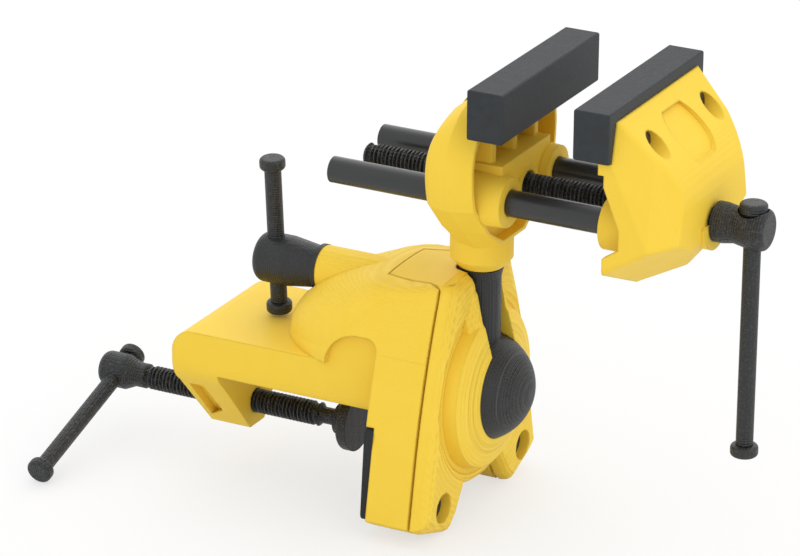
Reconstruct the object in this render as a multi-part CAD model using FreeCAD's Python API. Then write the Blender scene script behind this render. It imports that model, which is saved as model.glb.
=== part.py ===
import FreeCAD, Part
import math
import os

# Bench vise that clamps to a table edge.  The vise head stands on a ball stud,
# which a split socket grips, so the jaws can be tilted and turned.
# Millimetres.  The origin is where the clamp screw's axis meets the bench pad:
# +X points away from the bench edge along the jaws' travel, +Z up.

# ---------------------------------------------------------------- clearances
fit = 0.05            # radial clearance of a shaft, pin or thread in its bore
seam = 0.5            # gap between two mouldings that meet edge to edge
air = 0.3             # gap between a moving piece and what it passes

# ---------------------------------------------------------------- ball joint
ball_radius = 19.5
stem_radius = 7.0
stem_flare_radius = 7.9
stem_flare_height = 3.5
tenon_radius = 5.5
tenon_length = 23.0
ball_x = 24.7         # ball centre ahead of the bench pad's face
ball_z = 24.3         # ball centre above the clamp screw's axis
head_rise = 77.1      # main screw's axis above the ball centre

# ---------------------------------------------------------------- vise head
jaw_width = 75.0
pad_depth = 13.2
pad_height = 17.5
pad_rise = 27.3       # pads' underside above the main screw's axis
pad_setback = 12.0    # fixed pad's back ahead of the stem's axis
pad_rounding = 0.8
jaw_opening = 25.7
rod_radius = 4.6
rod_spacing = 36.6
rod_left_x = -23.3
main_thread_radius = 4.35
main_screw_left_x = -19.7
pad_screw_radius = 2.0
pad_screw_head_radius = 3.5
pad_screw_head_height = 3.0
pad_screw_bite = 9.0

# Fixed jaw: a drum open towards the moving jaw, on a round collar
drum_half_width = 34.0
drum_crown = 24.8     # drum's top above its centre
drum_rear_crown = 17.5
drum_squareness = 0.8  # 1 would make the top an ellipse
drum_centre_rise = 10.3
drum_depth = 18.0
drum_ridge_depth = 9.0
drum_rear_draft = 2.4
drum_rear_rounding = 2.0
drum_rim_draft = 0.6
drum_front_draft = 1.8
drum_wall = 3.2
drum_floor_depth = 12.4
drum_pan_depth = 4.0  # floor below the guide rods
drum_hip_y = 21.0
drum_hip_drop = 23.0
drum_foot_drop = 32.0
collar_radius = 11.0
collar_mouth_radius = 7.9
collar_bottom_drop = 32.0
collar_chamfer = 3.4
collar_cone_rise = 12.0
rod_boss_radius = 9.2
rod_boss_reach = 7.5
screw_boss_reach = 5.3
bridge_rise = 12.3
bridge_reach = 4.3
bridge_drop = 9.0
rib_thickness = 3.0
rib_pitch = 16.0
backing_drop = 1.0    # solid backing starts this far under the pads
fixed_pad_screw_y = 10.0
fixed_pad_screw_rise = 29.6
nut_across_flats = 14.0
nut_thickness = 6.8
screw_passage_radius = 5.2

# Moving jaw: a hood with a sloping front, open towards the fixed jaw
hood_top_rise = 41.0
hood_half_width = 35.5
hood_top_inset = 3.3
hood_slope_inset = 6.8
hood_cheek_rise = 26.6
hood_depth = 21.6     # front of the hood ahead of the pad's back
hood_top_depth = 0.8
hood_slope_depth = 13.8
hood_slope_rise = 28.2
hood_brow_depth = 19.6
hood_brow_rise = 19.6
hood_face_rise = 11.0
hood_chin_rise = -5.0
hood_jowl_depth = 13.0
hood_jowl_rise = -17.2
hood_keel_rise = -24.4
hood_keel_half_width = 3.0
hood_wall = 3.0
hood_rounding = 2.0
hood_lip_reach = 2.6
flank_top_depth = 3.2  # flanks leave the flat cheeks along this line
flank_top_rise = 37.1
flank_foot_depth = 13.6
flank_foot_rise = -1.9
flank_front_inset = 10.2
bilge_rise = -10.3    # cheeks' lower edge at the hood's back
side_notch_reach = 3.2
side_notch_top_rise = 19.6
side_notch_rise = 4.6
side_notch_low_rise = -2.4
side_notch_bottom_rise = -6.4
ledge_reach = 4.7
ledge_thickness = 4.4
moving_boss_reach = 8.1
moving_boss_depth = 9.5  # bosses end this far ahead of the pad's back
moving_pad_screw_y = 21.7
moving_pad_screw_rise = 31.6
moving_pad_hole_radius = 4.1
screw_ring_radius = 8.9
screw_cradle_radius = 10.0  # rim under the screw's head
screw_ring_reach = 1.2
shield_half_width = 10.6
shield_end_half_width = 7.0
shield_top_rise = 37.0
shield_foot_rise = 22.0
shield_depth = 1.0
rod_pin_radius = 1.5
rod_pin_x = 6.0       # rod pins ahead of the moving pad's back

# Main screw head, clip, washer and bar
head_neck_radius = 6.3
head_radius = 7.3
head_collar_radius = 7.0
head_collar_length = 3.0
head_length = 18.8
head_flat_rise = 4.6  # flat under the bar's top knob
head_waist_x = 7.0
head_swell_x = 12.5
head_rounding = 2.2
clip_thickness = 1.0
clip_radius = 6.4
clip_groove_radius = 3.6
washer_thickness = 1.2
washer_radius = 7.2
bar_radius = 3.0
main_bar_x = 14.3     # bar's axis ahead of the hood's front
main_bar_length = 87.3
main_knob_radius = 4.8
knob_height = 4.2
knob_rounding = 1.3
knob_spigot_radius = 1.6

# ---------------------------------------------------------------- bench clamp
pad_thickness = 3.3
pad_top_z = 17.2
pad_bottom_z = -18.3
pad_half_width = 37.5
pad_corner = 3.0
plate_front_x = 19.5
plate_rear_x = 0.2    # rear of the plate above the pad
recess_top_z = 17.7
parting_gap = 1.0
spacer_radius = 6.5
spacer_height = 0.7

# Outline shared by the frame plate and the front housing
crown_z = 69.2
shoulder_y = 21.9
shoulder_z = 67.35
shoulder_rounding = 3.6
flank_mid_y = 32.5
flank_mid_z = 37.2
flank_low_y = 39.3
flank_low_z = 10.0
toe_corner_y = 44.0
toe_corner_z = -14.8
toe_outer_y = 39.5
toe_outer_z = -17.6
toe_tip_y = 25.0
toe_tip_z = -22.3
toe_inner_y = 21.0
toe_inner_z = -18.8
arch_start_y = 14.0
ring_radius = 35.5    # underside of the socket between the toes

# Front housing
land_x = 33.7         # socket's rim
socket_mouth_radius = 17.5
land_edge_x = 30.9
land_edge_radius = 27.0
ring_shoulder_x = 29.8
ring_shoulder_radius = 28.4
ring_foot_radius = 29.2
moat_x = 25.3
moat_radius = 31.0
moat_rim_radius = 36.5
skirt_x = 26.9
skirt_edge_x = 21.6   # the skirt's rounded edge starts here
skirt_rounding = 5.5
slot_half_width = 8.75
neck_low_z = 41.0
neck_low_x = 33.2
neck_mid_z = 51.8
neck_mid_x = 29.8
neck_top_z = 61.5
neck_top_x = 27.8
neck_crest_half_width = 10.4
neck_foot_half_width = 15.0
neck_foot_drop = 2.9  # neck's feet lie this far behind its crest
neck_spread = 7.5     # widening from the neck's top to the crown
tongue_half_width = 13.0
tongue_rear_x = -4.0
tongue_flare_x = 14.5
tongue_flare_half_width = 17.5
tongue_flare_z = 60.0
tongue_block_z = 46.0
ear_screw_y = 30.8
ear_screw_z = -10.1
ear_rim_x = 25.7
ear_rim_radius = 7.4
ear_hole_radius = 5.4
ear_seat_x = 21.3
ear_screw_radius = 2.5
ear_screw_head_radius = 4.25
ear_screw_head_height = 2.4
ear_nut_across_flats = 8.0
ear_nut_thickness = 4.0

# Frame
arm_half_width = 27.2
arm_top_z = 34.0
arm_under_z = 18.7
arm_end_x = -82.8
arm_end_radius = 8.0
lug_inner_x = -64.8
lug_inner_draft = 1.0
lug_foot_x = -79.7
lug_foot_half_width = 5.0
lug_foot_z = -8.7
lug_hip_rounding = 7.0
lug_pocket_depth = 3.0
lug_pocket_margin = 3.6
lug_rib_width = 7.0
hump_length = 47.8    # from the plate's rear to the nose over the arm
hump_top_z = 65.6     # at the plate's rear
hump_rise_power = 1.6
hump_plan_power = 1.85  # 2 would make the plan an ellipse
hump_side_power = 1.8
hump_blend_length = 18.0
hump_nose_lean = 0.1  # slope of the flanks behind the blend
hump_nose_softness = 0.76
flank_bulge = 0.35
notch_top_z = 46.6
notch_left_x = -20.5
notch_foot_z = 35.6
notch_flat_x = -8.0
notch_right_bend = 4.6
lock_z = 56.2         # lock screw's axis
lock_boss_radius = 8.2
lock_boss_x = -36.4

# Lock screw
lock_thread_radius = 4.0
lock_screw_tip_x = 14.0
lock_nut_across_flats = 13.0
lock_nut_thickness = 6.5
lock_nut_x = 6.0
lock_washer_thickness = 1.6
lock_washer_radius = 8.4
lock_neck_radius = 7.3
lock_head_radius = 9.0
lock_head_length = 23.8
lock_head_swell = 12.0
lock_head_rounding = 3.0
lock_bar_inset = 6.25  # bar's axis from the head's end
lock_bar_tilt = 4.96  # degrees
lock_bar_short = 18.7
lock_bar_long = 36.8
lock_knob_radius = 4.6

# Clamp screw
clamp_thread_radius = 4.35
clamp_thread_left_x = -108.9
clamp_thread_right_x = -38.0
clamp_neck_radius = 3.0
clamp_button_radius = 4.0
clamp_button_length = 3.2
clamp_head_left_x = -127.4
clamp_collar_radius = 4.5
clamp_collar_length = 4.2
clamp_head_radius = 6.4
clamp_head_rounding = 2.6
clamp_pad_face_x = -22.8
clamp_pad_radius = 10.5
clamp_pad_thickness = 4.4
clamp_pad_rounding = 1.6
clamp_hub_radius = 5.6
clamp_hub_length = 3.4
clamp_bar_inset = 6.7  # bar's axis from the head's end
clamp_bar_drop = 17.65  # degrees below -Y
clamp_bar_long = 58.1
clamp_knob_radius = 4.7

# ---------------------------------------------------------------- derived
screw_z = ball_z + head_rise
fixed_pad_x = ball_x + pad_setback
moving_pad_x = fixed_pad_x + pad_depth + jaw_opening
hood_back_x = moving_pad_x + pad_depth
hood_front_x = hood_back_x + hood_depth
pad_z = screw_z + pad_rise
drum_z = screw_z + drum_centre_rise
drum_rear_x = fixed_pad_x - drum_depth
drum_floor_x = fixed_pad_x - drum_floor_depth
fixed_pad_seat_x = drum_floor_x + pad_screw_head_height
collar_bottom_z = screw_z - collar_bottom_drop
rod_y = rod_spacing / 2
housing_rear_x = plate_front_x + parting_gap
main_head_x = hood_front_x + screw_ring_reach + air
clip_x = hood_front_x - hood_wall - 4 * washer_thickness
main_knob_drop = head_flat_rise + air + knob_height / 2
lock_head_end_x = lock_boss_x - lock_washer_thickness - fit - lock_head_length
lock_bar_x = lock_head_end_x + lock_bar_inset
clamp_bar_x = clamp_head_left_x + clamp_bar_inset

V = FreeCAD.Vector
X = V(1, 0, 0)
Y = V(0, 1, 0)
Z = V(0, 0, 1)


# ---------------------------------------------------------------- helpers
def cylinder(radius, start, end):
    """Round bar between two points."""
    span = V(*end) - V(*start)
    return Part.makeCylinder(radius, span.Length, V(*start), span)


def block(x, y, z):
    """Box from three pairs of limits."""
    return Part.makeBox(x[1] - x[0], y[1] - y[0], z[1] - z[0], V(x[0], y[0], z[0]))


def on_plane(plane, level, point):
    """Point of the yz, xz or xy plane at the given level."""
    u, v = point
    if plane == "yz":
        return V(level, u, v)
    if plane == "xz":
        return V(u, level, v)
    return V(u, v, level)


def outline(plane, level, start, steps):
    """Closed wire.  A step (end,) is a line, a step (via, end) an arc."""
    edges = []
    here = on_plane(plane, level, start)
    for step in list(steps) + [(start,)]:
        there = on_plane(plane, level, step[-1])
        if (there - here).Length < 1e-6:
            continue
        if len(step) == 1:
            edges.append(Part.makeLine(here, there))
        else:
            via = on_plane(plane, level, step[0])
            edges.append(Part.Arc(here, via, there).toShape())
        here = there
    return Part.Wire(edges)


def symmetric(level, top, half):
    """Closed wire in a yz plane, alike on both sides of y = 0.

    half runs from the top centre to the bottom centre on the +y side.
    """
    corners = [top] + [step[-1] for step in half]
    back = []
    for i in range(len(half) - 1, -1, -1):
        end = (-corners[i][0], corners[i][1])
        if len(half[i]) == 1:
            back.append((end,))
        else:
            via = half[i][0]
            back.append(((-via[0], via[1]), end))
    return outline("yz", level, top, list(half) + back)


def prism(wire, direction):
    return Part.Face(wire).extrude(direction)


def turned(points, base, axis):
    """Solid of revolution.  Points are (radius, distance along the axis)."""
    side = X if axis.isEqual(Z, 1e-9) else Z
    base = V(*base)
    edges = []
    here = base + side * points[0][0] + axis * points[0][1]
    first = here
    for step in points[1:]:
        ends = step if isinstance(step[0], tuple) else (step,)
        spots = [base + side * r + axis * d for r, d in ends]
        if len(spots) == 1:
            edges.append(Part.makeLine(here, spots[0]))
        else:
            edges.append(Part.Arc(here, spots[0], spots[1]).toShape())
        here = spots[-1]
    edges.append(Part.makeLine(here, first))
    return Part.Face(Part.Wire(edges)).revolve(base, axis, 360)


def hexagon(across_flats, x, z, length, y=0.0):
    """Hexagonal prism along X, with two flats level."""
    corner = across_flats / math.sqrt(3)
    spots = []
    for i in range(7):
        angle = math.radians(60 * i)
        spots.append(V(x, y + corner * math.cos(angle), z + corner * math.sin(angle)))
    return Part.Face(Part.makePolygon(spots)).extrude(X * length)


def united(first, *others):
    shape = first
    for other in others:
        shape = shape.fuse(other)
    return shape.removeSplitter()


def trimmed(shape, corners, depth):
    """Cut away what lies beyond the plane through three corners, moved in by depth.

    The corners are on the +y side, and the mirrored plane trims the -y side.
    """
    a, b, c = (V(*corner) for corner in corners)
    normal = (b - a).cross(c - a).normalize()
    if normal.y < 0:
        normal = normal * -1
    size = 4 * jaw_width
    for side in (1, -1):
        outward = V(normal.x, normal.y * side, normal.z)
        spot = V(a.x, a.y * side, a.z) - outward * depth
        beyond = Part.makeBox(size, size, size, V(-size / 2, -size / 2, 0))
        beyond.Placement = FreeCAD.Placement(spot, FreeCAD.Rotation(Z, outward))
        shape = shape.cut(beyond)
    return shape


def knob(radius, centre, axis):
    """Round end knob with rounded rims."""
    low = -knob_height / 2
    high = knob_height / 2
    bend = knob_rounding * (1 - math.sqrt(0.5))
    flat = radius - knob_rounding
    profile = [
        (0, low), (flat, low),
        ((radius - bend, low + bend), (radius, low + knob_rounding)),
        (radius, high - knob_rounding),
        ((radius - bend, high - bend), (flat, high)),
        (0, high),
    ]
    shape = turned(profile, (0, 0, 0), Z)
    turn = FreeCAD.Rotation(Z, axis)
    shape.Placement = FreeCAD.Placement(centre, turn)
    return shape


def handle(centre, axis, to_start, to_end, knob_radius):
    """Sliding bar with spigots, and the two knobs pressed on them."""
    start = centre - axis * to_start
    end = centre + axis * to_end
    inner = knob_height / 2
    rod_start = start + axis * inner
    rod_end = end - axis * inner
    rod = Part.makeCylinder(bar_radius, (rod_end - rod_start).Length, rod_start, axis)
    spigot_start = start - axis * (inner / 2)
    spigot_length = (end - start).Length + inner
    spigot = Part.makeCylinder(knob_spigot_radius, spigot_length, spigot_start, axis)
    bar = united(rod, spigot)
    socket = Part.makeCylinder(knob_spigot_radius + fit, spigot_length, spigot_start, axis)
    knobs = [knob(knob_radius, spot, axis).cut(socket) for spot in (start, end)]
    return bar, Part.makeCompound(knobs)


# ---------------------------------------------------------------- ball stud
def make_ball_stud():
    shoulder = math.sqrt(ball_radius ** 2 - stem_radius ** 2)
    top = collar_bottom_z - ball_z - air
    profile = [
        (0, -ball_radius), ((ball_radius, 0), (stem_radius, shoulder)),
        (stem_radius, top - stem_flare_height), (stem_flare_radius, top),
        (tenon_radius, top), (tenon_radius, top + tenon_length), (0, top + tenon_length),
    ]
    return turned(profile, (ball_x, 0, ball_z), Z)


# ---------------------------------------------------------------- fixed jaw
def drum_outline(x, inset, rise):
    """Section of the drum.  rise is the height of its crown above its centre."""
    width = drum_half_width - inset
    crown = rise - inset

    def upper(degrees):
        angle = math.radians(degrees)
        return (width * math.sin(angle) ** drum_squareness,
                drum_z + crown * math.cos(angle) ** drum_squareness)

    def lower(degrees):
        angle = math.radians(degrees)
        return (width * math.sin(angle), drum_z + width * math.cos(angle))

    foot_z = drum_z - drum_foot_drop + inset
    half = [
        (upper(18), upper(36)), (upper(63), (width, drum_z)), (lower(100), lower(111)),
        ((drum_hip_y - inset, drum_z - drum_hip_drop),),
        ((collar_radius - inset, foot_z),), ((0, foot_z),),
    ]
    return symmetric(x, (0, drum_z + crown), half)


def make_fixed_jaw():
    ridge_x = fixed_pad_x - drum_ridge_depth
    sections = [
        drum_outline(drum_rear_x, drum_rear_draft, drum_rear_crown),
        drum_outline(drum_rear_x + drum_rear_rounding, drum_rim_draft,
                     drum_rear_crown + drum_rear_rounding),
        drum_outline(ridge_x, 0, drum_crown),
        drum_outline(fixed_pad_x, drum_front_draft, drum_crown),
    ]
    drum = Part.makeLoft(sections, True, True)
    mouth_z = collar_bottom_z + collar_chamfer
    cone_z = screw_z - collar_bottom_drop / 2
    collar = turned([
        (0, collar_bottom_z), (collar_mouth_radius, collar_bottom_z),
        (collar_radius, mouth_z), (collar_radius, cone_z),
        (stem_radius, cone_z + collar_cone_rise), (0, cone_z + collar_cone_rise),
    ], (ball_x, 0, 0), Z)
    shell = united(drum, collar)

    open_x = fixed_pad_x + rod_boss_reach
    hollow = prism(drum_outline(drum_floor_x, drum_wall, drum_crown),
                   X * (open_x - drum_floor_x))
    backing_z = pad_z - backing_drop
    pan_z = screw_z - bridge_drop
    hollow = hollow.cut(block((drum_floor_x, open_x), (-jaw_width, jaw_width),
                              (backing_z, backing_z + jaw_width)))
    hollow = hollow.cut(block((drum_floor_x, fixed_pad_x - drum_pan_depth),
                              (-jaw_width, jaw_width), (pan_z - jaw_width, pan_z)))
    shell = shell.cut(hollow)

    bridge_top = screw_z + bridge_rise
    inside = [
        block((drum_floor_x, fixed_pad_x + bridge_reach), (-rod_y, rod_y),
              (pan_z, bridge_top)),
        cylinder(rod_boss_radius - drum_wall / 2, (drum_floor_x, 0, screw_z),
                 (fixed_pad_x + screw_boss_reach, 0, screw_z)),
    ]
    for side in (-1, 1):
        y = side * rod_y
        boss = Part.makeCone(rod_boss_radius + drum_rim_draft, rod_boss_radius - drum_rim_draft,
                             open_x - drum_floor_x, V(drum_floor_x, y, screw_z), X)
        inside.append(boss)
    for i in (-1, 0, 1):
        middle = i * rib_pitch
        inside.append(block((drum_floor_x, fixed_pad_x),
                            (middle - rib_thickness / 2, middle + rib_thickness / 2),
                            (screw_z, backing_z)))
    shell = united(shell, *inside)

    rear = ball_x - collar_radius
    front = open_x + air
    bores = [
        cylinder(screw_passage_radius, (rear, 0, screw_z), (front, 0, screw_z)),
        cylinder(tenon_radius + fit, (ball_x, 0, collar_bottom_z - air),
                 (ball_x, 0, collar_bottom_z + tenon_length)),
        hexagon(nut_across_flats + 2 * fit, rear, screw_z, drum_rear_x + nut_thickness - rear),
    ]
    for side in (-1, 1):
        y = side * rod_y
        bores.append(cylinder(rod_radius + fit, (rear, y, screw_z), (front, y, screw_z)))
        y = side * fixed_pad_screw_y
        z = screw_z + fixed_pad_screw_rise
        bores.append(cylinder(pad_screw_radius + fit, (rear, y, z), (fixed_pad_x, y, z)))
        bores.append(cylinder(pad_screw_head_radius + fit, (rear, y, z),
                              (fixed_pad_seat_x, y, z)))
    for bore in bores:
        shell = shell.cut(bore)
    return shell


def make_pad(x, screw_y, screw_rise, screws_from):
    """Jaw pad with blind screw holes in the face that lies on its jaw."""
    half = jaw_width / 2
    pad = block((x, x + pad_depth), (-half, half), (pad_z, pad_z + pad_height))
    pad = pad.makeFillet(pad_rounding, pad.Edges)
    z = screw_z + screw_rise
    for side in (-1, 1):
        y = side * screw_y
        end_x = screws_from + (pad_screw_bite + fit) * (1 if screws_from < x + 1 else -1)
        pad = pad.cut(cylinder(pad_screw_radius + fit, (screws_from, y, z), (end_x, y, z)))
    return pad


def pad_screw(head_x, y, z, towards, length):
    """Cheese-head screw along X.  head_x is the seat under its head."""
    seat = V(head_x, y, z)
    axis = X * towards
    head = Part.makeCylinder(pad_screw_head_radius, pad_screw_head_height, seat, axis * -1)
    shank = Part.makeCylinder(pad_screw_radius, length, seat, axis)
    return united(head, shank)


def make_fixed_pad_screws():
    length = fixed_pad_x + pad_screw_bite - fixed_pad_seat_x
    z = screw_z + fixed_pad_screw_rise
    return Part.makeCompound([
        pad_screw(fixed_pad_seat_x, side * fixed_pad_screw_y, z, 1, length)
        for side in (-1, 1)])


def make_main_nut():
    nut = hexagon(nut_across_flats, drum_rear_x + fit, screw_z, nut_thickness - 2 * fit)
    return nut.cut(cylinder(main_thread_radius + fit, (drum_rear_x - air, 0, screw_z),
                            (drum_rear_x + nut_thickness + air, 0, screw_z)))


# ---------------------------------------------------------------- moving jaw
def hood_spot(depth, rise):
    """Point of the hood's side view: ahead of the pad's back, above the screw's axis."""
    return (hood_back_x + depth, screw_z + rise)


def hood_profile():
    """Side view of the hood: sloping front above, keel below."""
    lip = -hood_lip_reach
    return outline("xz", -jaw_width, hood_spot(lip, hood_top_rise), [
        (hood_spot(hood_top_depth, hood_top_rise),),
        (hood_spot(hood_slope_depth, hood_slope_rise),),
        (hood_spot(hood_brow_depth, hood_brow_rise), hood_spot(hood_depth, hood_face_rise)),
        (hood_spot(hood_depth, hood_chin_rise),),
        (hood_spot(hood_jowl_depth, hood_jowl_rise),),
        (hood_spot(lip, hood_keel_rise),)])


def hood_planes():
    """Corners of the planes that trim the hood's shoulders, flanks and bilges."""
    def corner(depth, y, rise):
        x, z = hood_spot(depth, rise)
        return (x, y, z)

    shoulders = (corner(0, hood_half_width - hood_top_inset, hood_top_rise),
                 corner(hood_slope_depth, hood_half_width - hood_slope_inset, hood_slope_rise),
                 corner(0, hood_half_width, hood_cheek_rise))
    flanks = (corner(flank_top_depth, hood_half_width, flank_top_rise),
              corner(flank_foot_depth, hood_half_width, flank_foot_rise),
              corner(hood_depth, hood_half_width - flank_front_inset, hood_face_rise))
    bilges = (corner(0, hood_half_width, bilge_rise),
              corner(flank_foot_depth, hood_half_width, flank_foot_rise),
              corner(0, hood_keel_half_width, hood_keel_rise))
    return shoulders, flanks, bilges


def hood_body(wall):
    """The hood's outer shape, or with a wall the space inside it."""
    size = 2 * jaw_width
    body = prism(hood_profile(), Y * size)
    body.translate(V(-wall, 0, 0))
    body = body.common(prism(hood_profile(), Y * size).translated(V(0, 0, -wall)))
    body = body.common(prism(hood_profile(), Y * size).translated(V(0, 0, wall)))
    side = hood_half_width - wall
    body = body.common(block((-size, size), (-side, side), (-size, 2 * size)))
    for plane in hood_planes():
        body = trimmed(body, plane, wall)
    return body


def make_moving_jaw():
    back = hood_back_x
    under_pad = pad_z - ledge_thickness
    hood = hood_body(0)
    top_z = screw_z + hood_top_rise
    seams = [edge for edge in hood.Edges
             if edge.BoundBox.XMax > back + hood_rounding and edge.BoundBox.ZMin < top_z - air]
    hood = hood.makeFillet(hood_rounding, seams)
    hood = hood.cut(block((back - jaw_width, back), (-jaw_width, jaw_width),
                          (under_pad, screw_z + jaw_width)))
    hollow = hood_body(hood_wall).cut(block((back - jaw_width, back + jaw_width),
                                            (-jaw_width, jaw_width),
                                            (under_pad, screw_z + jaw_width)))
    lip = -hood_lip_reach - air
    notch = prism(outline("xz", -jaw_width, hood_spot(lip, side_notch_top_rise), [
        (hood_spot(side_notch_reach, side_notch_rise),),
        (hood_spot(side_notch_reach, side_notch_low_rise),),
        (hood_spot(lip, side_notch_bottom_rise),)]), Y * (2 * jaw_width))
    hood = hood.cut(hollow).cut(notch)

    boss_x = back - moving_boss_reach
    wall_x = hood_front_x - hood_wall
    ledge = block((back - ledge_reach, back + hood_wall), (-hood_half_width, hood_half_width),
                  (under_pad, pad_z - fit))
    ledge = trimmed(ledge, hood_planes()[0], 0)
    above = block((wall_x - air, hood_front_x + jaw_width), (-jaw_width, jaw_width),
                  (screw_z, screw_z + jaw_width))
    inside = [
        ledge,
        cylinder(screw_ring_radius, (wall_x - ledge_reach, 0, screw_z),
                 (hood_front_x, 0, screw_z)),
        cylinder(screw_cradle_radius, (wall_x, 0, screw_z),
                 (hood_front_x + screw_ring_reach, 0, screw_z)).cut(above),
    ]
    for side in (-1, 1):
        y = side * rod_y
        inside.append(cylinder(rod_boss_radius, (boss_x, y, screw_z),
                               (back + moving_boss_depth, y, screw_z)))
    hood = united(hood, *inside)

    bores = [cylinder(main_thread_radius + seam, (boss_x, 0, screw_z),
                      (hood_front_x + hood_wall, 0, screw_z)),
             cylinder(washer_radius + fit, (boss_x, 0, screw_z), (wall_x, 0, screw_z)),
             shield_pocket()]
    for side in (-1, 1):
        y = side * rod_y
        bores.append(cylinder(rod_radius + fit, (boss_x - air, y, screw_z),
                              (back + moving_boss_depth + air, y, screw_z)))
        pin_x = back + rod_pin_x
        bores.append(cylinder(rod_pin_radius + fit, (pin_x, y, screw_z - rod_boss_radius - air),
                              (pin_x, y, screw_z)))
        y = side * moving_pad_screw_y
        z = screw_z + moving_pad_screw_rise
        bores.append(cylinder(pad_screw_radius + fit, (back - air, y, z),
                              (hood_front_x, y, z)))
        bores.append(cylinder(moving_pad_hole_radius, (back + hood_wall, y, z),
                              (hood_front_x, y, z)))
    for bore in bores:
        hood = hood.cut(bore)
    return hood


def shield_pocket():
    """Shallow barrel-shaped pocket in the sloping front."""
    end = shield_end_half_width
    foot = screw_z + shield_foot_rise
    top = screw_z + shield_top_rise
    middle = (foot + top) / 2
    shield = prism(outline("yz", hood_back_x, (-end, top), [
        ((-shield_half_width, middle), (-end, foot)), ((end, foot),),
        ((shield_half_width, middle), (end, top))]), X * jaw_width)
    skin = prism(hood_profile(), Y * (2 * jaw_width))
    deeper = skin.translated(V(-shield_depth, 0, -shield_depth))
    return shield.common(skin).cut(deeper)


def make_moving_pad_screws():
    seat = hood_back_x + hood_wall
    length = hood_wall + pad_screw_bite
    z = screw_z + moving_pad_screw_rise
    return Part.makeCompound([
        pad_screw(seat, side * moving_pad_screw_y, z, -1, length) for side in (-1, 1)])


def make_guide_rod(side):
    right = hood_back_x + moving_boss_depth - air
    y = side * rod_y
    rod = cylinder(rod_radius, (rod_left_x, y, screw_z), (right, y, screw_z))
    pin_x = hood_back_x + rod_pin_x
    return rod.cut(cylinder(rod_pin_radius + fit, (pin_x, y, screw_z - rod_boss_radius),
                            (pin_x, y, screw_z)))


def make_rod_pins():
    pin_x = hood_back_x + rod_pin_x
    return Part.makeCompound([
        cylinder(rod_pin_radius, (pin_x, side * rod_y, screw_z - rod_boss_radius),
                 (pin_x, side * rod_y, screw_z - fit)) for side in (-1, 1)])


# ---------------------------------------------------------------- main screw
def make_main_screw():
    groove_end = clip_x + clip_thickness
    head_end = main_head_x + head_length
    lead = main_thread_radius - clip_groove_radius
    bend = head_rounding * (1 - math.sqrt(0.5))
    profile = [
        (0, main_screw_left_x), (clip_groove_radius, main_screw_left_x),
        (main_thread_radius, main_screw_left_x + lead), (main_thread_radius, clip_x),
        (clip_groove_radius, clip_x), (clip_groove_radius, groove_end),
        (main_thread_radius, groove_end), (main_thread_radius, main_head_x),
        (head_collar_radius, main_head_x), (head_collar_radius, main_head_x + head_collar_length),
        (head_neck_radius, main_head_x + head_waist_x),
        (head_radius, main_head_x + head_swell_x), (head_radius, head_end - head_rounding),
        ((head_radius - bend, head_end - bend), (head_radius - head_rounding, head_end)),
        (0, head_end),
    ]
    screw = turned(profile, (0, 0, screw_z), X)
    hole_x = hood_front_x + main_bar_x
    hole = cylinder(bar_radius + fit, (hole_x, 0, screw_z - 2 * head_radius),
                    (hole_x, 0, screw_z + 2 * head_radius))
    flat = cylinder(main_knob_radius + seam, (hole_x, 0, screw_z + head_flat_rise),
                    (hole_x, 0, screw_z + 2 * head_radius))
    return screw.cut(hole).cut(flat)


def make_ring(inner, outer, x, thickness, z):
    ring = cylinder(outer, (x, 0, z), (x + thickness, 0, z))
    return ring.cut(cylinder(inner, (x - air, 0, z), (x + thickness + air, 0, z)))


def make_main_handle():
    centre = V(hood_front_x + main_bar_x, 0, screw_z)
    return handle(centre, Z, main_bar_length - main_knob_drop, main_knob_drop, main_knob_radius)


# ---------------------------------------------------------------- clamp halves
def flank_y(z):
    """Half-width of the clamp's outline at a height between shoulder and toe."""
    def share(at, other, another):
        return (z - other) * (z - another) / ((at - other) * (at - another))

    return (shoulder_y * share(shoulder_z, flank_mid_z, flank_low_z)
            + flank_mid_y * share(flank_mid_z, shoulder_z, flank_low_z)
            + flank_low_y * share(flank_low_z, shoulder_z, flank_mid_z))


def clamp_outline(x, inset):
    """Outline shared by the frame plate and the front housing."""
    slide = shoulder_rounding
    corner_z = shoulder_z - slide
    corner_y = flank_y(corner_z) - inset
    camber = crown_z - shoulder_z
    arch_rise = ring_radius - math.sqrt(ring_radius ** 2 - arch_start_y ** 2)
    half = [
        ((shoulder_y / 2 - inset / 2, crown_z - camber / 4 - inset),
         (shoulder_y - slide - inset / 2, shoulder_z + slide / 8 - inset)),
        ((shoulder_y - slide / 12 - inset, shoulder_z - slide / 6 - inset),
         (corner_y, corner_z - inset)),
        ((flank_mid_y - inset, flank_mid_z), (flank_low_y - inset, flank_low_z)),
        ((toe_corner_y - inset, toe_corner_z + inset),),
        ((toe_outer_y - inset, toe_outer_z + inset),),
        ((toe_tip_y, toe_tip_z + inset),),
        ((toe_inner_y, toe_inner_z + inset),),
        ((arch_start_y, ball_z - ring_radius + arch_rise + inset),),
        ((arch_start_y / 2, ball_z - ring_radius + arch_rise / 4 + inset),
         (0, ball_z - ring_radius + inset)),
    ]
    return symmetric(x, (0, crown_z - inset), half)


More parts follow.
